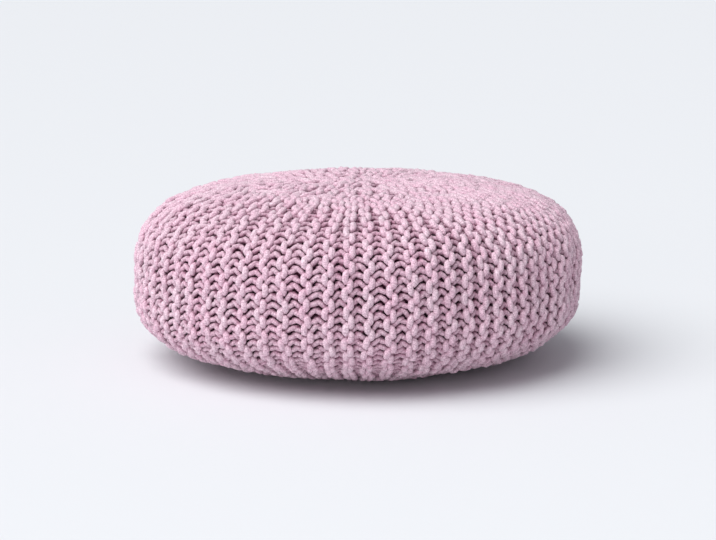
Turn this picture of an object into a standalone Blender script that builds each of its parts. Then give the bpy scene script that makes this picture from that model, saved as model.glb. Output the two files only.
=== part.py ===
"""A knitted floor pouf: one filled, crowned cushion with ridged sides, flat where it rests.

Metres, +Z up, origin at the middle of the underside. The cover is knitted sideways, so its ridges run
from the gathered middle of the top, down the round side, to the middle of the underside.
"""

import math

import bpy
import numpy as np

# The filled form
DIAMETER = 0.600
HEIGHT = 0.240
WIDEST_AT = 0.106  # height of the widest ring above the floor
CROWN_POWER = 3.5  # superellipse power above the widest ring: 2 is an ellipse, more is fuller
BELLY_POWER = 2.85  # the same below the widest ring
BELLY_DROP = 0.110  # how far the belly would hang below the widest ring with no floor under it
SLUMP = 0.006  # how much higher the widest ring stands at +X, and lower at -X, as loose filling lies
DIMPLE_DEPTH = 0.004  # where the stitches are gathered in the middle of the top
DIMPLE_RADIUS = 0.022

# The ridges of the knitting
RIDGES = 72
RIDGE_DEPTH = 0.006
RIDGES_START = 0.030  # distance from the axis at which the ridges begin to rise
RIDGES_FULL = 0.150  # and at which they stand at full depth
RIDGES_LIFT = 0.025  # height above the floor at which they are at full depth on the belly

# How finely the form is faceted
RINGS_ON_SIDE = 25
RINGS_ON_BASE = 2
FINE_STEPS = 2000
MERGE_DISTANCE = 0.00001

PINK_YARN = (0.68, 0.40, 0.52, 1.0)
YARN_ROUGHNESS = 0.85


def clear_scene():
    for thing in list(bpy.data.objects):
        bpy.data.objects.remove(thing, do_unlink=True)


def yarn_material():
    material = bpy.data.materials.new("pink_cotton_yarn")
    material.use_nodes = True
    shader = material.node_tree.nodes["Principled BSDF"]
    shader.inputs["Base Color"].default_value = PINK_YARN
    shader.inputs["Roughness"].default_value = YARN_ROUGHNESS
    shader.inputs["Metallic"].default_value = 0.0
    return material


def smooth_step(value):
    """0 below 0, 1 above 1, and an even rise between."""
    held = np.clip(value, 0.0, 1.0)
    return held * held * (3.0 - 2.0 * held)


def free_outline():
    """Radii and heights from the top's middle down to where the belly first meets the floor."""
    radius = DIAMETER / 2
    turn = np.linspace(0.0, math.pi / 2, FINE_STEPS)
    crown_r = radius * np.sin(turn) ** (2 / CROWN_POWER)
    crown_z = WIDEST_AT + (HEIGHT - WIDEST_AT) * np.cos(turn) ** (2 / CROWN_POWER)
    crown_z -= DIMPLE_DEPTH * np.exp(-((crown_r / DIMPLE_RADIUS) ** 2))
    belly_r = radius * np.cos(turn) ** (2 / BELLY_POWER)
    belly_z = WIDEST_AT - BELLY_DROP * np.sin(turn) ** (2 / BELLY_POWER)
    above_floor = belly_z > 0.0
    return (
        np.concatenate([crown_r, belly_r[above_floor][1:]]),
        np.concatenate([crown_z, belly_z[above_floor][1:]]),
    )


def profile_points():
    """The turned profile, top to bottom: even rings down the side, then the flat base."""
    radii, heights = free_outline()
    along = np.concatenate([[0.0], np.cumsum(np.hypot(np.diff(radii), np.diff(heights)))])
    even = np.linspace(0.0, along[-1], RINGS_ON_SIDE + 1)
    side = [(np.interp(s, along, radii), np.interp(s, along, heights)) for s in even]
    side[0] = (0.0, side[0][1])
    base_radius = side[-1][0]
    side[-1] = (base_radius, 0.0)
    base = [(base_radius * (1 - ring / RINGS_ON_BASE), 0.0) for ring in range(1, RINGS_ON_BASE + 1)]
    return side + base


def turned_body(collection):
    """The plain body of revolution, with one step for each crest and one for each groove."""
    points = profile_points()
    profile = bpy.data.meshes.new("pouf_profile")
    edges = [(i, i + 1) for i in range(len(points) - 1)]
    profile.from_pydata([(r, 0.0, z) for r, z in points], edges, [])
    body = bpy.data.objects.new("pouf_profile", profile)
    collection.objects.link(body)
    turn = body.modifiers.new("turn", "SCREW")
    turn.axis = "Z"
    turn.angle = 2 * math.pi
    turn.steps = 2 * RIDGES
    turn.render_steps = turn.steps
    turn.use_merge_vertices = True
    turn.merge_threshold = MERGE_DISTANCE
    turn.use_smooth_shade = True
    return body


def read_vectors(mesh, attribute):
    values = np.empty(len(mesh.vertices) * 3)
    mesh.vertices.foreach_get(attribute, values)
    return values.reshape(-1, 3)


def press_grooves(mesh):
    """Sink every second meridian between the ridges, less and less towards the poles and the floor."""
    places = read_vectors(mesh, "co")
    normals = read_vectors(mesh, "normal")
    from_axis = np.hypot(places[:, 0], places[:, 1])
    meridian = np.rint(np.arctan2(places[:, 1], places[:, 0]) / (math.pi / RIDGES)).astype(int)
    in_groove = meridian % 2 == 1
    rise = smooth_step((from_axis - RIDGES_START) / (RIDGES_FULL - RIDGES_START))
    rise *= np.where(places[:, 2] < WIDEST_AT, smooth_step(places[:, 2] / RIDGES_LIFT), 1.0)
    places -= normals * (RIDGE_DEPTH * rise * in_groove)[:, None]
    mesh.vertices.foreach_set("co", places.ravel())
    mesh.update()


def let_filling_slump(mesh):
    """Raise one side's middle and lower the other's, and leave the top and the base where they are."""
    places = read_vectors(mesh, "co")
    share_of_height = places[:, 2] / HEIGHT
    middle = 4 * share_of_height * (1 - share_of_height)
    places[:, 2] += SLUMP * places[:, 0] / (DIAMETER / 2) * middle
    mesh.vertices.foreach_set("co", places.ravel())
    mesh.update()


def knitted_pouf(collection):
    plain = turned_body(collection)
    bpy.context.view_layer.update()
    evaluated = plain.evaluated_get(bpy.context.evaluated_depsgraph_get())
    mesh = bpy.data.meshes.new_from_object(evaluated)
    bpy.data.objects.remove(plain, do_unlink=True)
    press_grooves(mesh)
    let_filling_slump(mesh)
    mesh.shade_smooth()
    pouf = bpy.data.objects.new("knitted_pouf", mesh)
    mesh.name = pouf.name
    mesh.materials.clear()
    mesh.materials.append(yarn_material())
    collection.objects.link(pouf)
    return pouf


def main():
    clear_scene()
    collection = bpy.data.collections.new("knitted_floor_pouf")
    bpy.context.scene.collection.children.link(collection)
    knitted_pouf(collection)


main()
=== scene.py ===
"""Looks of the knitted floor pouf: a garter-stitch cover of real yarn over its filled body.

Metres, in the frame of the CAD model. One repeat of the knitting is relaxed as yarn under contact, then laid
row by row over the pouf, from the gathered middle of the top to the middle of the underside.
"""

import math

import bpy
import numpy as np
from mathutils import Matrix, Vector


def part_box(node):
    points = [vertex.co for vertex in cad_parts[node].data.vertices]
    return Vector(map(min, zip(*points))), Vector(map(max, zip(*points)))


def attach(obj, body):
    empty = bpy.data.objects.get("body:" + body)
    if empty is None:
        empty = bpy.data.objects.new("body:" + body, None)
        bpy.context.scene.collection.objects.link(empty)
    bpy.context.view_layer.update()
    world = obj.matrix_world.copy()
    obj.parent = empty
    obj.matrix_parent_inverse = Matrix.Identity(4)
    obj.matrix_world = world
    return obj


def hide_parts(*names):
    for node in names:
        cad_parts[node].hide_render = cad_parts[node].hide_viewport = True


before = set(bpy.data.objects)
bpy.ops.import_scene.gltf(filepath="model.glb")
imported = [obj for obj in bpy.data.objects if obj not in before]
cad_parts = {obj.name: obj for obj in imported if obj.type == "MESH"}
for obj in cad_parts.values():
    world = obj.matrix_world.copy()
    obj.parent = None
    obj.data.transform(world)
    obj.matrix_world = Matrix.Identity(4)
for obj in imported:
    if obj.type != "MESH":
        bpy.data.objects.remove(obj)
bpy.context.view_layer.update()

POUF_NODE = "knitted_pouf"
LOW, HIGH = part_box(POUF_NODE)

# The filled form, as the CAD model has it
RADIUS = (HIGH[0] - LOW[0]) / 2
HEIGHT = HIGH[2] - LOW[2]
WIDEST_AT = 0.106
CROWN_POWER = 3.5
BELLY_POWER = 2.85
BELLY_DROP = 0.110
SLUMP = 0.006

# The yarn and its knitting
YARN = 0.0085  # diameter where nothing presses on it
CONTACT = 0.0060  # how near two strands come, because soft cord gives
STITCH = 0.0200  # length of a stitch along its row
LOOP_REACH = 0.0080  # how far a loop's head passes the next row, before it is relaxed
LOOP_DEPTH = 0.0070  # and how far it stands out
LOOP_WAIST = 0.17  # share of a stitch by which a loop narrows at its legs
# The stretched stitch's length, by distance down the surface from the middle of the top
PITCHES = (
    (0.0, 0.0215),
    (0.12, 0.0230),
    (0.21, 0.0240),
    (0.36, 0.0207),
    (0.48, 0.0186),
    (0.60, 0.0200),
)
LOOP_LENGTH = 0.068  # yarn in one stitch
LIFT = 0.0014  # how far the filling pushes the hollows out towards the ridges
THIN = 0.77  # share of the yarn's thickness left where it is pulled tight
OPENING = 0.36  # how far the filling's stretch opens the hollows between the ridges
GATHER = 0.24  # how far the bumps along a ridge draw apart from one another
SAG = 0.34  # share of a stitch by which the ridges hang below the hollows between them
LEAN = 0.16  # share of a stitch by which the outermost yarn hangs below the innermost
CLOSER = 0.15  # how much the two rows of a ridge crowd together
RELIEF = 0.90  # how far the knitting keeps its depth once it is pulled over the filling
ROW_WIDTHS = (0.0065, 0.0085, 0.0105, 0.0130, 0.0160)  # row spacings for which a repeat is relaxed
RIDGES = 72
ROW_ENDS = (0.016, 0.046, 0.086, 0.158)  # how near the poles the rows come, longest rows first
ROW_TAPER = 0.026  # length over which a short row gives its room to its neighbours
LEFT_WIDER = 0.2  # how much wider the ridges are at -X than on average, and narrower at +X
UNEVEN_ROWS = 0.10  # share by which widths and ends vary
GORES = 6  # mesh pieces that the cover is cut into
SIDES = 7  # sides of the yarn's cross-section
STEPS = 18  # sections along one stitch
DRIFT = 5  # stitches by which the rows step up in one turn around the pouf
WAVE_PUSH = 0.00058  # how far waves move neighbouring strands together
STRAND_WANDER = 0.00055  # how far each strand strays by itself
THICKNESS_WANDER = 0.035  # share by which the yarn's thickness varies
SEED = 11

# The body under the knitting
BODY_DEPTH = 2.15 * YARN
BODY_RINGS = 68
BODY_TURNS = 120
PRESSURE = 4.0
FRAMES = 20
SWELL_CAP = 0.003  # the farthest that the pressure may move the body

# Colours, linear
PINK_ROSY = (0.77, 0.53, 0.63)
PINK_GREYER = (0.77, 0.60, 0.67)
FLECK_DARK = (0.70, 0.62, 0.67)
FLECK_LIGHT = (1.12, 1.12, 1.12)
# Painted light on the tops of the cord's own stitches, and painted shade in the creases between them
CORD_TOP_PAINTED_LIGHT = (1.06, 1.06, 1.06)
CORD_CREVICE_PAINTED_SHADE = (0.66, 0.58, 0.62)
# Painted shade: the cover's inner side, seen through the gaps, is coloured very dark for the deep shade
# there
INSIDE_PAINTED_SHADE_DARK = (0.24, 0.06, 0.13)
INSIDE_PAINTED_SHADE_LIGHTER = (0.38, 0.12, 0.22)
# Painted shade and light: what multiplies the yarn's colour, from the deepest yarn (darkened) to the
# outermost (lightened)
DEPTH_PAINTED_SHADE_AND_LIGHT = ((0.0, (0.20, 0.05, 0.11)), (0.50, (0.44, 0.24, 0.33)), (0.86, (1.10, 1.10, 1.10)))
DEEPEST = -0.0150
OUTERMOST = -0.0010
CORD_STITCH = 0.0024  # length of a stitch of the cord's own knitting
CORD_WALES = 6.0  # how many of them go around the cord
PALE_FLOOR = (0.76, 0.775, 0.80)
SKY = (0.93, 0.95, 1.0)

# Studio light and camera
SUN_FROM = (-0.72, -0.50, 1.3)
SUN_STRENGTH = 3.0
SUN_ANGLE = math.radians(62)
SKY_STRENGTH = 0.37
PANEL_PLACE = (-1.7, -3.4, 0.8)
PANEL_AIM = (0.0, 0.0, 0.05)
PANEL_SIZE = (3.0, 0.9)
PANEL_WATTS = 22.0
FLOOR_HALF = 40.0
CAMERA_ELEVATION = math.radians(9.7)
CAMERA_DISTANCE = 2.4
LENS = 89.44693  # mm, on a sensor 36 mm wide


# ---------------------------------------------------------------- the form


def smooth_step(value):
    held = np.clip(value, 0.0, 1.0)
    return held * held * (3.0 - 2.0 * held)


class Form:
    """The pouf's outer surface, by distance down a meridian, azimuth and depth."""

    def __init__(self, fine=6000):
        turn = np.linspace(0.0, math.pi / 2, fine)
        crown_r = RADIUS * np.sin(turn) ** (2 / CROWN_POWER)
        crown_z = WIDEST_AT + (HEIGHT - WIDEST_AT) * np.cos(turn) ** (2 / CROWN_POWER)
        belly_r = RADIUS * np.cos(turn) ** (2 / BELLY_POWER)
        belly_z = WIDEST_AT - BELLY_DROP * np.sin(turn) ** (2 / BELLY_POWER)
        up = belly_z > 0.0
        radii = np.concatenate([crown_r, belly_r[up][1:], [0.0]])
        heights = np.concatenate([crown_z, belly_z[up][1:], [0.0]])
        along = np.concatenate([[0.0], np.cumsum(np.hypot(np.diff(radii), np.diff(heights)))])
        self.length = along[-1]
        self.s = np.linspace(0.0, self.length, 1500)
        self.r = np.interp(self.s, along, radii)
        self.z = np.interp(self.s, along, heights)
        slope_r = self.soften(np.gradient(self.r, self.s))
        slope_z = self.soften(np.gradient(self.z, self.s))
        size = np.hypot(slope_r, slope_z)
        self.nr = -slope_z / size
        self.nz = slope_r / size

    @staticmethod
    def soften(values, reach=12):
        kernel = np.hanning(2 * reach + 1)
        padded = np.concatenate([[values[0]] * reach, values, [values[-1]] * reach])
        return np.convolve(padded, kernel / kernel.sum(), mode="valid")

    def radius_at(self, s, depth=0.0):
        return np.interp(s, self.s, self.r) - depth * np.interp(s, self.s, self.nr)

    def place(self, s, azimuth, out):
        """Points at arc length s and azimuth, moved out along the surface normal (in, if negative)."""
        r = np.interp(s, self.s, self.r) + out * np.interp(s, self.s, self.nr)
        z = np.interp(s, self.s, self.z) + out * np.interp(s, self.s, self.nz)
        x = r * np.cos(azimuth)
        y = r * np.sin(azimuth)
        share = np.clip(z / HEIGHT, 0.0, 1.0)
        z = z + SLUMP * x / RADIUS * 4 * share * (1 - share)
        return np.stack([x, y, z], -1)


# ---------------------------------------------------------------- one repeat of the knitting


def first_loops(row, points=28):
    """A knit row's loop, then a purl row's, as (along the row, across the rows, out), heads first."""
    t = np.arange(points) * 2 * math.pi / points
    along = STITCH * t / (2 * math.pi) + LOOP_WAIST * STITCH * np.sin(2 * t)
    across = (row + LOOP_REACH) / 2 * np.cos(t)
    out = LOOP_DEPTH * np.cos(t)
    knit = np.stack([along, across - row / 2, out], -1)
    purl = np.stack([along, across + row / 2, -out], -1)
    return np.stack([knit, purl])


def copies_around(loops, row):
    """The two strands repeated around the repeat, and whose copy each point is."""
    points = loops.shape[1]
    places = []
    labels = []
    for du in (-2, -1, 0, 1, 2):
        for dv in (-1, 0, 1):
            places.append((loops + np.array([du * STITCH, dv * 2 * row, 0.0])).reshape(-1, 3))
            strand = np.repeat([0, 1], points)
            index = np.tile(np.arange(points), 2) + du * points
            labels.append(np.stack([strand, index, np.full(2 * points, dv)], -1))
    return np.concatenate(places), np.concatenate(labels)


def relax(loops, row, rounds, bending=0.05, flattening=0.02):
    """Let the strands bend evenly, keep their length and push apart where they touch."""
    points = loops.shape[1]
    rest = LOOP_LENGTH / points
    near = int(math.ceil(1.35 * CONTACT / rest))
    period = np.array([STITCH, 0.0, 0.0])
    strand = np.repeat([0, 1], points)
    index = np.tile(np.arange(points), 2)
    for _ in range(rounds):
        before = np.roll(loops, 1, 1)
        before[:, 0] -= period
        after = np.roll(loops, -1, 1)
        after[:, -1] += period
        loops = loops + bending * ((before + after) / 2 - loops)
        for _ in range(5):
            for parity in (0, 1):
                i = np.arange(parity, points, 2)
                j = (i + 1) % points
                wrap = (i + 1 >= points)[None, :, None] * period
                gap = loops[:, j] + wrap - loops[:, i]
                size = np.linalg.norm(gap, axis=-1, keepdims=True)
                fix = 0.5 * (1 - rest / size) * gap
                loops[:, i] += fix
                loops[:, j] -= fix
        others, labels = copies_around(loops, row)
        mine = loops.reshape(-1, 3)
        apart = mine[:, None] - others[None]
        size = np.linalg.norm(apart, axis=-1) + 1e-9
        same = (strand[:, None] == labels[None, :, 0]) & (labels[None, :, 2] == 0)
        same &= np.abs(index[:, None] - labels[None, :, 1]) < near
        bite = np.where((size < CONTACT) & ~same, CONTACT - size, 0.0)
        touching = np.clip((bite > 0).sum(1), 1, 3)
        mine = mine + ((0.5 * bite / size)[..., None] * apart).sum(1) / touching[:, None]
        loops = mine.reshape(loops.shape)
        loops[..., 2] *= 1 - flattening
        loops[..., 2] -= loops[..., 2].mean()
        loops[..., 1] -= loops[..., 1].mean()
        loops[..., 0] -= loops[:, :1, 0].mean()
    return loops


def resampled(loops, at):
    """The periodic strands read at shares of a stitch, by Catmull-Rom curves."""
    points = loops.shape[1]
    period = np.array([STITCH, 0.0, 0.0])
    place = at * points
    whole = np.floor(place).astype(int)
    f = (place - whole)[None, :, None]
    corner = []
    for step in (-1, 0, 1, 2):
        k = whole + step
        corner.append(loops[:, k % points] + (k // points)[None, :, None] * period)
    a, b, c, d = corner
    return 0.5 * (
        2 * b + (c - a) * f + (2 * a - 5 * b + 4 * c - d) * f**2 + (3 * b - a - 3 * c + d) * f**3
    )


def sample_places(loops):
    """STEPS shares of a stitch for each strand, closer together on the bends that show."""
    fine = np.linspace(0.0, 1.0, 401)
    curve = resampled(loops, fine)
    places = []
    for strand in curve:
        step = np.diff(strand, axis=0)
        size = np.linalg.norm(step, axis=1)
        way = step / size[:, None]
        bend = np.linalg.norm(np.roll(way, -1, 0) - way, axis=1) / size
        bend[-1] = bend[0]
        shown = np.interp(strand[1:, 2], [-0.5 * YARN, 0.3 * YARN], [0.75, 1.0])
        weight = size * (1 + 0.012 * bend * shown)
        total = np.concatenate([[0.0], np.cumsum(weight)])
        places.append(np.interp(np.arange(STEPS) / STEPS * total[-1], total, fine))
    return places


def stretched(line, share, row):
    """One strand as the filling stretches it: the hollows open, and the yarn in them is drawn thin."""
    top = line[:, 2].max()
    even = STITCH * share
    back = (1 - np.cos(math.pi * line[:, 1] / row)) / 2
    pull = 1 - OPENING * back - GATHER * (1 - back)
    inward = (1 - line[:, 2] / top) / 2
    along = even + (line[:, 0] - even) * pull - STITCH * (SAG * back + LEAN * inward)
    shown = smooth_step((line[:, 2] / top - 0.50) / 0.45)
    thick = THIN + (1 - THIN) * shown
    across = line[:, 1] * (1 - CLOSER * (1 - back) ** 4)
    out = RELIEF * line[:, 2] + LIFT * smooth_step(back / 0.6)
    return np.stack([along / STITCH, across, out, thick], -1)


def knitting_repeats():
    """For each row spacing, both strands of one repeat, as along, across, out and thickness."""
    middle = 3
    loops = {middle: relax(first_loops(ROW_WIDTHS[middle]), ROW_WIDTHS[middle], 500)}
    for i, neighbour in ((4, 3), (2, 3), (1, 2), (0, 1)):
        start = loops[neighbour] * np.array([1.0, ROW_WIDTHS[i] / ROW_WIDTHS[neighbour], 1.0])
        loops[i] = relax(start, ROW_WIDTHS[i], 200)
    places = sample_places(loops[middle])
    repeats = []
    for i, row in enumerate(ROW_WIDTHS):
        pair = []
        for strand in (0, 1):
            line = resampled(loops[i], places[strand])[strand]
            first = loops[i][strand, 0, 0]
            pair.append(stretched(line - [first, 0, 0], places[strand], row) + [first / STITCH, 0, 0, 0])
        pair = np.stack(pair)
        pair[..., 2] -= pair[..., 2].max() + YARN / 2
        repeats.append(pair)
    return np.stack(repeats)


# ---------------------------------------------------------------- the rows on the form


class Rows:
    """Where each ridge (one knit and one purl row) runs, and how wide it is."""

    def __init__(self, form, rng):
        self.form = form
        self.mid_depth = 1.3 * YARN
        order = np.arange(RIDGES)
        level = np.full(RIDGES, 3)
        level[order % 2 == 0] = 2
        level[order % 4 == 0] = 1
        level[order % 8 == 0] = 0
        ends = np.array(ROW_ENDS)[level]
        least, most = 1 - UNEVEN_ROWS, 1 + UNEVEN_ROWS
        self.start = ends * rng.uniform(least, most, RIDGES)
        self.end = form.length - ends * rng.uniform(least, most, RIDGES)
        self.start[level == 0] = ROW_ENDS[0]
        self.end[level == 0] = form.length - ROW_ENDS[0]
        # azimuth -90 degrees faces the camera; ridges sit closer on its right
        guess = -math.pi / 2 + 2 * math.pi * (order + 0.5) / RIDGES
        self.share = 1 - LEFT_WIDER * np.cos(guess)
        self.share *= rng.uniform(least, most, RIDGES)
        self.s = form.s
        present = smooth_step((self.s[None] - self.start[:, None]) / ROW_TAPER + 0.5)
        present *= smooth_step((self.end[:, None] - self.s[None]) / ROW_TAPER + 0.5)
        inner = (level == 0)[:, None]
        present = np.where(inner, 1.0, present)
        widths = self.share[:, None] * present
        turn = 2 * math.pi * widths / widths.sum(0)
        self.azimuth = -math.pi / 2 + np.cumsum(turn, 0) - turn / 2
        self.width = turn * np.maximum(form.radius_at(self.s, self.mid_depth), 0.004)

    def read(self, table, ridge, s):
        return np.interp(s, self.s, table[ridge])


def stitch_places(form):
    """How many stitches lie between the middle of the top and any distance down a meridian."""
    fine = np.linspace(0.0, form.length, 800)
    place, pitch = zip(*PITCHES)
    pitch = np.interp(fine, place, pitch)
    count = np.concatenate([[0.0], np.cumsum(np.diff(fine) / pitch[1:])])
    return fine, count


def ridge_path(rows, ridge, repeats, stitch_table):
    """Both rows of one ridge as points (s, azimuth, out), top to bottom: knit, then purl."""
    form = rows.form
    fine, count = stitch_table
    phase = DRIFT * (ridge + 0.5) / RIDGES
    first = int(math.ceil(np.interp(rows.start[ridge] - 0.006, fine, count) + phase))
    last = int(math.floor(np.interp(rows.end[ridge] + 0.006, fine, count) + phase))
    stitches = np.arange(first, last + 1)
    strands = []
    for strand in (0, 1):
        middle = repeats[2, strand, :, 0]
        number = (stitches[:, None] + middle[None]).ravel() - phase
        s = np.interp(number, count, fine)
        width = rows.read(rows.width, ridge, s) / 2
        pick = np.interp(width, ROW_WIDTHS, np.arange(len(ROW_WIDTHS)))
        low = np.minimum(pick.astype(int), len(ROW_WIDTHS) - 2)
        mix = (pick - low)[:, None]
        step = np.tile(np.arange(STEPS), len(stitches))
        point = repeats[low, strand, step] * (1 - mix) + repeats[low + 1, strand, step] * mix
        number = np.repeat(stitches, STEPS) + point[:, 0] - phase
        number -= DRIFT * point[:, 1] / (2 * math.pi * RADIUS)
        s = np.interp(number, count, fine)
        # a very narrow row is squeezed across
        squeeze = np.clip(width / ROW_WIDTHS[0], 0.3, 1.0)
        turn = point[:, 1] * squeeze / np.maximum(form.radius_at(s, rows.mid_depth), 0.006)
        azimuth = rows.read(rows.azimuth, ridge, s) + turn
        strands.append(np.stack([s, azimuth, point[:, 2], point[:, 3]], -1))
    return strands


def hermite(a, b, way_a, way_b, points):
    """Points between a and b on a curve that leaves along way_a and arrives along way_b."""
    f = np.linspace(0, 1, points + 2)[1:-1, None]
    return (
        (2 * f**3 - 3 * f**2 + 1) * a
        + (f**3 - 2 * f**2 + f) * way_a
        + (-2 * f**3 + 3 * f**2) * b
        + (f**3 - f**2) * way_b
    )


def joined(first, second, points=5, pull=0.03):
    """Two stretches of yarn joined by a round turn."""
    way_a = first[-1] - first[-2]
    way_b = second[1] - second[0]
    way_a = way_a / np.linalg.norm(way_a[:3]) * pull
    way_b = way_b / np.linalg.norm(way_b[:3]) * pull
    way_a[3:] = 0.0
    way_b[3:] = 0.0
    return np.concatenate([first, hermite(first[-1], second[0], way_a, way_b, points), second])


class Unevenness:
    """Seeded waves that carry neighbouring strands together, and a smaller wander of each strand."""

    def __init__(self, rng, waves=10):
        way = rng.normal(size=(waves, 3))
        way /= np.linalg.norm(way, axis=1, keepdims=True)
        self.waves = way * 2 * math.pi / rng.uniform(0.035, 0.12, (waves, 1))
        self.phase = rng.uniform(0, 2 * math.pi, waves)
        self.push = rng.normal(size=(waves, 3)) * WAVE_PUSH
        self.rng = rng

    def wander(self, length, reach, columns):
        knots = int(length[-1] / reach) + 3
        values = self.rng.normal(size=(knots, columns))
        place = length / reach
        low = place.astype(int)
        mix = smooth_step(place - low)[:, None]
        return values[low] * (1 - mix) + values[low + 1] * mix

    def __call__(self, path):
        place, thick = path[:, :3], path[:, 3]
        together = np.sin(place @ self.waves.T + self.phase) @ self.push
        size = np.linalg.norm(np.diff(place, axis=0), axis=1)
        length = np.concatenate([[0.0], np.cumsum(size)])
        place = place + together + STRAND_WANDER * self.wander(length, 0.011, 3)
        thick = thick * (1 + THICKNESS_WANDER * self.wander(length, 0.016, 1)[:, 0])
        # nothing goes below the floor
        least = thick * YARN / 2 + 0.0001
        place[:, 2] = np.maximum(place[:, 2], least)
        return place, thick


def laid_on(form, line):
    """One row's points in space, with its thickness, its depth and the surface's outward direction."""
    place = form.place(line[:, 0], line[:, 1], line[:, 2])
    outward = form.place(line[:, 0], line[:, 1], line[:, 2] + 0.001) - place
    outward /= np.linalg.norm(outward, axis=1, keepdims=True)
    return np.concatenate([place, line[:, 3:], line[:, 2:3], outward], -1)


def gore_yarn(form, rows, ridges, repeats, stitch_table):
    """One length of yarn through a gore: up each ridge's knit row and down its purl row."""
    yarn = None
    for ridge in ridges:
        knit, purl = ridge_path(rows, ridge, repeats, stitch_table)
        upward = laid_on(form, knit)[::-1]
        yarn = upward if yarn is None else joined(yarn, upward)
        yarn = joined(yarn, laid_on(form, purl))
    return yarn


# ---------------------------------------------------------------- yarn as mesh


def carried_frames(path):
    """Directions along and across a path, carried along it without twist."""
    along = np.gradient(path, axis=0)
    along /= np.linalg.norm(along, axis=1, keepdims=True)
    across = np.empty_like(path)
    side = np.cross(along[0], [0.0, 0.0, 1.0])
    side /= np.linalg.norm(side)
    for i, way in enumerate(along):
        side = side - side.dot(way) * way
        side = side / math.sqrt(side.dot(side))
        across[i] = side
    return across, np.cross(along, across)


def tube_faces(count):
    """Corner numbers of a tube's four-sided faces, and of the triangles that close its two ends."""
    i = np.arange(count - 1)[:, None] * SIDES
    k = np.arange(SIDES)
    k2 = (k + 1) % SIDES
    quads = np.stack([i + k, i + k2, i + SIDES + k2, i + SIDES + k], -1).reshape(-1, 4)
    last = (count - 1) * SIDES
    first_cap = np.stack([np.full(SIDES, count * SIDES), k2, k], -1)
    last_cap = np.stack([np.full(SIDES, count * SIDES + 1), last + k, last + k2], -1)
    return quads, np.concatenate([first_cap, last_cap])


def mesh_from(name, points, quads, caps):
    """A mesh of four-sided faces followed by triangles, made without a Python loop."""
    corners = np.concatenate([quads.ravel(), caps.ravel()]).astype(np.int32)
    starts = np.concatenate([np.arange(len(quads)) * 4, len(quads) * 4 + np.arange(len(caps)) * 3])
    sizes = np.concatenate([np.full(len(quads), 4), np.full(len(caps), 3)])
    mesh = bpy.data.meshes.new(name)
    mesh.vertices.add(len(points))
    mesh.vertices.foreach_set("co", points.astype(np.float32).ravel())
    mesh.loops.add(len(corners))
    mesh.loops.foreach_set("vertex_index", corners)
    mesh.polygons.add(len(starts))
    mesh.polygons.foreach_set("loop_start", starts.astype(np.int32))
    mesh.polygons.foreach_set("loop_total", sizes.astype(np.int32))
    mesh.update(calc_edges=True)
    mesh.validate()
    return mesh


def add_map(mesh, name, quad_map, cap_map):
    layer = mesh.uv_layers.new(name=name)
    flat = np.concatenate([quad_map.reshape(-1, 2), cap_map])
    layer.data.foreach_set("uv", flat.astype(np.float32).ravel())


def add_yarn_map(mesh, path, caps):
    """The yarn's own map: metres along it, and a share of the way around."""
    count = len(path)
    size = np.linalg.norm(np.diff(path, axis=0), axis=1)
    length = np.concatenate([[0.0], np.cumsum(size)])
    i = np.repeat(np.arange(count - 1), SIDES)
    k = np.tile(np.arange(SIDES), count - 1)
    u = np.stack([length[i], length[i], length[i + 1], length[i + 1]], -1)
    v = np.stack([k, k + 1, k + 1, k], -1) / SIDES
    add_map(mesh, "Yarn", np.stack([u, v], -1), np.zeros((caps * 3, 2)))


def add_bake_map(mesh, count, caps):
    """The map for baking: the yarn cut into strips that lie side by side in the unit square."""
    i = np.repeat(np.arange(count - 1), SIDES)
    k = np.tile(np.arange(SIDES), count - 1)
    per_strip = int(math.ceil(math.sqrt((count - 1) * SIDES)))
    strips = int(math.ceil((count - 1) / per_strip))
    x = (i % per_strip) / per_strip
    y = (i // per_strip) / strips
    wide = 0.96 / per_strip
    tall = 0.92 / strips
    u = np.stack([x, x, x + wide, x + wide], -1)
    low = y + tall * k / SIDES
    high = y + tall * (k + 1) / SIDES
    v = np.stack([low, high, high, low], -1)
    corner = np.array([[0.999, 0.999], [0.9995, 0.999], [0.999, 0.9995]])
    add_map(mesh, "OFBake", np.stack([u, v], -1), np.tile(corner, (caps, 1)))


def yarn_mesh(name, path, radii, out, outward):
    """A closed tube along a path, with its depth in the cover for the painted shade, a map of the yarn and a
    map for baking.
    """
    across, up = carried_frames(path)
    turn = np.arange(SIDES) * 2 * math.pi / SIDES
    ring = across[:, None] * np.cos(turn)[None, :, None] + up[:, None] * np.sin(turn)[None, :, None]
    tube = (path[:, None] + ring * radii[:, None, None]).reshape(-1, 3)
    quads, caps = tube_faces(len(path))
    mesh = mesh_from(name, np.concatenate([tube, path[[0, -1]]]), quads, caps)
    # each point's depth in the cover, which drives the yarn's painted shade and light
    depth = out[:, None] + radii[:, None] * np.einsum("nka,na->nk", ring, outward)
    depth = np.concatenate([depth.ravel(), out[[0, -1]]])
    stored = mesh.attributes.new("depth", "FLOAT", "POINT")
    stored.data.foreach_set("value", depth.astype(np.float32))
    add_yarn_map(mesh, path, len(caps))
    add_bake_map(mesh, len(path), len(caps))
    mesh.shade_smooth()
    return mesh


# ---------------------------------------------------------------- materials


def new_material(name):
    material = bpy.data.materials.new(name)
    material.use_nodes = True
    tree = material.node_tree
    shader = tree.nodes["Principled BSDF"]
    return material, tree, shader


def noise(tree, scale, detail=2.0, vector=None):
    node = tree.nodes.new("ShaderNodeTexNoise")
    node.inputs["Scale"].default_value = scale
    node.inputs["Detail"].default_value = detail
    if vector is not None:
        tree.links.new(vector, node.inputs["Vector"])
    return node.outputs["Fac"]


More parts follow.
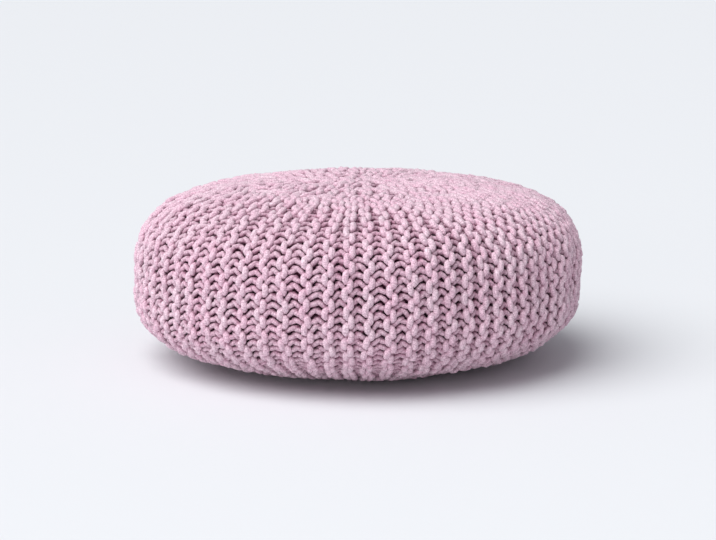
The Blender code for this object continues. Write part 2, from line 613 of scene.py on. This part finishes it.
def ramp(tree, fac, stops):
    node = tree.nodes.new("ShaderNodeValToRGB")
    for _ in stops[2:]:
        node.color_ramp.elements.new(0.5)
    for element, (place, color) in zip(node.color_ramp.elements, stops):
        element.position = place
        element.color = (*color, 1)
    tree.links.new(fac, node.inputs["Fac"])
    return node.outputs["Color"]


def multiplied(tree, factor, first, second):
    node = tree.nodes.new("ShaderNodeMix")
    node.data_type = "RGBA"
    node.blend_type = "MULTIPLY"
    node.inputs["Factor"].default_value = factor
    tree.links.new(first, node.inputs[6])
    tree.links.new(second, node.inputs[7])
    return node.outputs[2]


def bump(tree, height, distance, strength=1.0, under=None):
    node = tree.nodes.new("ShaderNodeBump")
    node.inputs["Strength"].default_value = strength
    node.inputs["Distance"].default_value = distance
    tree.links.new(height, node.inputs["Height"])
    if under is not None:
        tree.links.new(under, node.inputs["Normal"])
    return node.outputs["Normal"]


def cord_texture(tree):
    """The cord's own fine knitting: small slanted stitches along it, as a height from 0 to 1."""
    nodes, links = tree.nodes, tree.links
    own = nodes.new("ShaderNodeUVMap")
    own.uv_map = "Yarn"
    scaled = nodes.new("ShaderNodeMapping")
    scaled.inputs["Scale"].default_value = (1 / CORD_STITCH, CORD_WALES, 1.0)
    links.new(own.outputs["UV"], scaled.inputs["Vector"])
    cells = nodes.new("ShaderNodeTexVoronoi")
    cells.inputs["Scale"].default_value = 1.0
    cells.inputs["Randomness"].default_value = 0.45
    links.new(scaled.outputs["Vector"], cells.inputs["Vector"])
    return cells.outputs["Distance"]


def yarn_material():
    material, tree, shader = new_material("pink_cotton_yarn")
    nodes, links = tree.nodes, tree.links
    shader.inputs["Roughness"].default_value = 0.95
    shader.inputs["Specular IOR Level"].default_value = 0.25
    shader.inputs["Sheen Weight"].default_value = 0.20
    shader.inputs["Sheen Roughness"].default_value = 0.6
    where = nodes.new("ShaderNodeTexCoord").outputs["Object"]
    patches = ramp(tree, noise(tree, 38.0, 3.0, where), [(0.35, PINK_ROSY), (0.66, PINK_GREYER)])
    flecks = noise(tree, 620.0, 3.0, where)
    flecks = ramp(tree, flecks, [(0.38, FLECK_DARK), (0.62, FLECK_LIGHT)])
    stitches = cord_texture(tree)
    # Painted shade and light on the cord's own stitches: lighter on their tops, darker in the creases
    # between them
    cord_painted_shade = ramp(tree, stitches, [(0.20, CORD_TOP_PAINTED_LIGHT), (0.75, CORD_CREVICE_PAINTED_SHADE)])
    color = multiplied(tree, 0.85, patches, flecks)
    color = multiplied(tree, 0.55, color, cord_painted_shade)
    # Painted shade and light: the yarn's colour is darkened the deeper it lies in the cover and lightened
    # where it is outermost
    depth = nodes.new("ShaderNodeAttribute")
    depth.attribute_name = "depth"
    level = nodes.new("ShaderNodeMapRange")
    level.inputs["From Min"].default_value = DEEPEST
    level.inputs["From Max"].default_value = OUTERMOST
    links.new(depth.outputs["Fac"], level.inputs["Value"])
    color = multiplied(tree, 1.0, color, ramp(tree, level.outputs["Result"], DEPTH_PAINTED_SHADE_AND_LIGHT))
    links.new(color, shader.inputs["Base Color"])
    fine = bump(tree, noise(tree, 900.0, 2.0, where), 0.00035)
    links.new(bump(tree, stitches, -0.0009, 1.0, fine), shader.inputs["Normal"])
    return material


# ---------------------------------------------------------------- pieces


def add_piece(name, mesh, material):
    piece = bpy.data.objects.new(name, mesh)
    bpy.context.scene.collection.objects.link(piece)
    mesh.materials.append(material)
    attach(piece, "root")
    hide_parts(POUF_NODE)
    return piece


def body_blank(form, depth=BODY_DEPTH):
    """The filled form just under the knitting, as rings closed at the top and the base."""
    s = np.linspace(0.0, form.length, BODY_RINGS + 2)[1:-1]
    azimuth = np.linspace(0, 2 * math.pi, BODY_TURNS + 1)[:-1]
    grid = form.place(s[:, None], azimuth[None], -depth)
    grid[..., 2] = np.maximum(grid[..., 2], depth)
    rings, turns = grid.shape[:2]
    top = np.array([0.0, 0.0, HEIGHT - depth])
    base = np.array([0.0, 0.0, depth])
    points = np.concatenate([grid.reshape(-1, 3), [top, base]])
    i = np.arange(rings - 1)[:, None] * turns
    k = np.arange(turns)[None]
    k2 = (k + 1) % turns
    faces = np.stack([i + k, i + turns + k, i + turns + k2, i + k2], -1).reshape(-1, 4).tolist()
    last = (rings - 1) * turns
    faces += [[len(points) - 2, j, (j + 1) % turns] for j in range(turns)]
    faces += [[len(points) - 1, last + (j + 1) % turns, last + j] for j in range(turns)]
    mesh = bpy.data.meshes.new("pouf_body")
    mesh.from_pydata(points.tolist(), [], faces)
    mesh.shade_smooth()
    return mesh


def fill_out(body):
    """Lets the body swell and crease as filled cloth, by no more than SWELL_CAP from where it was."""
    before = np.array([v.co[:] for v in body.data.vertices])
    cloth = body.modifiers.new("filling", "CLOTH")
    cloth.settings.quality = 5
    cloth.settings.mass = 0.3
    cloth.settings.use_pressure = True
    cloth.settings.uniform_pressure_force = PRESSURE
    cloth.settings.effector_weights.gravity = 0.0
    cloth.point_cache.frame_start = 1
    cloth.point_cache.frame_end = FRAMES
    scene = bpy.context.scene
    for number in range(1, FRAMES + 1):
        scene.frame_set(number)
    shown = body.evaluated_get(bpy.context.evaluated_depsgraph_get())
    after = np.array([v.co[:] for v in shown.data.vertices])
    body.modifiers.remove(cloth)
    scene.frame_set(1)
    moved = after - before
    size = np.linalg.norm(moved, axis=1, keepdims=True)
    moved *= np.minimum(1.0, SWELL_CAP / np.maximum(size, 1e-9))
    body.data.vertices.foreach_set("co", (before + moved).astype(np.float32).ravel())
    body.data.update()


def inside_material():
    """The cover's inner side, seen only through the gaps: the same cotton, matted, and coloured very dark as
    painted shade.
    """
    material, tree, shader = new_material("pink_cotton_inside_painted_shade")
    where = tree.nodes.new("ShaderNodeTexCoord").outputs["Object"]
    color = ramp(tree, noise(tree, 260.0, 4.0, where), [(0.35, INSIDE_PAINTED_SHADE_DARK), (0.65, INSIDE_PAINTED_SHADE_LIGHTER)])
    tree.links.new(color, shader.inputs["Base Color"])
    shader.inputs["Roughness"].default_value = 1.0
    shader.inputs["Specular IOR Level"].default_value = 0.1
    tree.links.new(bump(tree, noise(tree, 420.0, 3.0, where), 0.0012), shader.inputs["Normal"])
    return material


def build_cover():
    rng = np.random.default_rng(SEED)
    form = Form()
    rows = Rows(form, rng)
    repeats = knitting_repeats()
    table = stitch_places(form)
    material = yarn_material()
    uneven = Unevenness(rng)
    per_gore = RIDGES // GORES
    for gore in range(GORES):
        ridges = range(gore * per_gore, (gore + 1) * per_gore)
        yarn = gore_yarn(form, rows, ridges, repeats, table)
        path, thick = uneven(yarn)
        radii = thick * YARN / 2
        mesh = yarn_mesh(f"knitted_gore_{gore + 1}", path, radii, yarn[:, 4], yarn[:, 5:])
        add_piece(mesh.name, mesh, material)
    body = add_piece("pouf_body", body_blank(form), inside_material())
    fill_out(body)


# ---------------------------------------------------------------- floor, light and camera


def build_floor():
    mesh = bpy.data.meshes.new("floor")
    corners = [(x * FLOOR_HALF, y * FLOOR_HALF, 0) for x, y in ((-1, -1), (1, -1), (1, 1), (-1, 1))]
    mesh.from_pydata(corners, [], [(0, 1, 2, 3)])
    floor = bpy.data.objects.new("floor", mesh)
    bpy.context.scene.collection.objects.link(floor)
    material, _, shader = new_material("pale_floor")
    shader.inputs["Base Color"].default_value = (*PALE_FLOOR, 1)
    shader.inputs["Roughness"].default_value = 0.9
    mesh.materials.append(material)


def build_light():
    sun = bpy.data.lights.new("key", "SUN")
    sun.energy = SUN_STRENGTH
    sun.angle = SUN_ANGLE
    key = bpy.data.objects.new("key", sun)
    key.rotation_euler = Vector(SUN_FROM).to_track_quat("Z", "Y").to_euler()
    bpy.context.scene.collection.objects.link(key)
    panel = bpy.data.lights.new("front_panel", "AREA")
    panel.shape = "RECTANGLE"
    panel.size, panel.size_y = PANEL_SIZE
    panel.energy = PANEL_WATTS
    front = bpy.data.objects.new("front_panel", panel)
    front.location = PANEL_PLACE
    front.rotation_euler = (front.location - Vector(PANEL_AIM)).to_track_quat("Z", "Y").to_euler()
    bpy.context.scene.collection.objects.link(front)
    world = bpy.data.worlds.new("studio")
    world.use_nodes = True
    background = world.node_tree.nodes["Background"]
    background.inputs["Color"].default_value = (*SKY, 1)
    background.inputs["Strength"].default_value = SKY_STRENGTH
    bpy.context.scene.world = world


def build_camera():
    camera_data = bpy.data.cameras.new("camera")
    camera_data.sensor_width = 36.0
    camera_data.lens = LENS
    camera = bpy.data.objects.new("camera", camera_data)
    back = Vector((0.0, -math.cos(CAMERA_ELEVATION), math.sin(CAMERA_ELEVATION)))
    aim = Vector((0.0003, 0.0, HEIGHT / 2 - 0.005))
    camera.location = Vector((0, 0, HEIGHT / 2 + 0.005)) + CAMERA_DISTANCE * back
    camera.rotation_euler = (camera.location - aim).to_track_quat("Z", "Y").to_euler()
    bpy.context.scene.collection.objects.link(camera)
    bpy.context.scene.camera = camera


build_camera()
build_light()
build_floor()
build_cover()
bpy.context.scene.view_settings.view_transform = "Standard"
